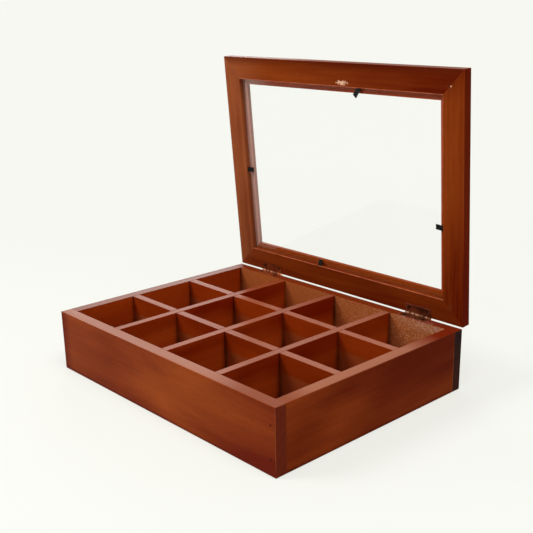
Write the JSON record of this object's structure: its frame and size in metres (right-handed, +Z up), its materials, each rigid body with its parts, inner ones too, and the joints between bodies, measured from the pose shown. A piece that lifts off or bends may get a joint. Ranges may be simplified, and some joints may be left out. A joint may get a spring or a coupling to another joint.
{
  "type": "tea bag organizer box",
  "caption": "Stained wooden box divided into square compartments, with a hinged mitred lid frame that holds a clear glass pane.",
  "frame": {"origin": "centre of the underside of the box", "axes": "+X along the hinges, with the right end as seen from the front; -Y to the front, +Y to the hinge side; +Z up"},
  "size_m": [0.3404, 0.2708, 0.3235],
  "materials": {
    "stained_wood": "satin red-brown stain and lacquer",
    "divider_wood": "satin red-brown stain and lacquer",
    "panel_wood": "stained plywood",
    "glass": "clear float glass, 2 mm",
    "antique_brass": "antique brass plate",
    "steel": "plain steel wire and strip",
    "blackened_steel": "blackened spring steel"
  },
  "bodies": {
    "box": {"front_board": "stained_wood", "back_board": "stained_wood", "left_side_board": "stained_wood", "right_side_board": "stained_wood", "bottom_panel": "panel_wood", "long_divider_front": "divider_wood", "long_divider_back": "divider_wood", "short_divider_left": "divider_wood", "short_divider_middle": "divider_wood", "short_divider_right": "divider_wood", "corner_brads": "steel", "panel_brads": "steel", "left_hinge_box_leaf": "antique_brass", "left_hinge_pin": "antique_brass", "right_hinge_box_leaf": "antique_brass", "right_hinge_pin": "antique_brass", "box_hinge_screws": "antique_brass"},
    "lid": {"lid_front_rail": "stained_wood", "lid_hinge_rail": "stained_wood", "lid_left_stile": "stained_wood", "lid_right_stile": "stained_wood", "corner_v_nails": "steel", "glass_pane": "glass", "glass_tab_front": "blackened_steel", "glass_tab_hinge_side": "blackened_steel", "glass_tab_left": "blackened_steel", "glass_tab_right": "blackened_steel", "left_hinge_lid_leaf": "antique_brass", "right_hinge_lid_leaf": "antique_brass", "lid_hinge_screws": "antique_brass"}
  },
  "joints": [
    {"name": "lid_hinge", "type": "hinge", "parent": "box", "child": "lid", "pos_m": [0, 0.13015, 0.06655], "axis": [1, 0, 0], "range_deg": [-9.5, 85.5]}
  ]
}
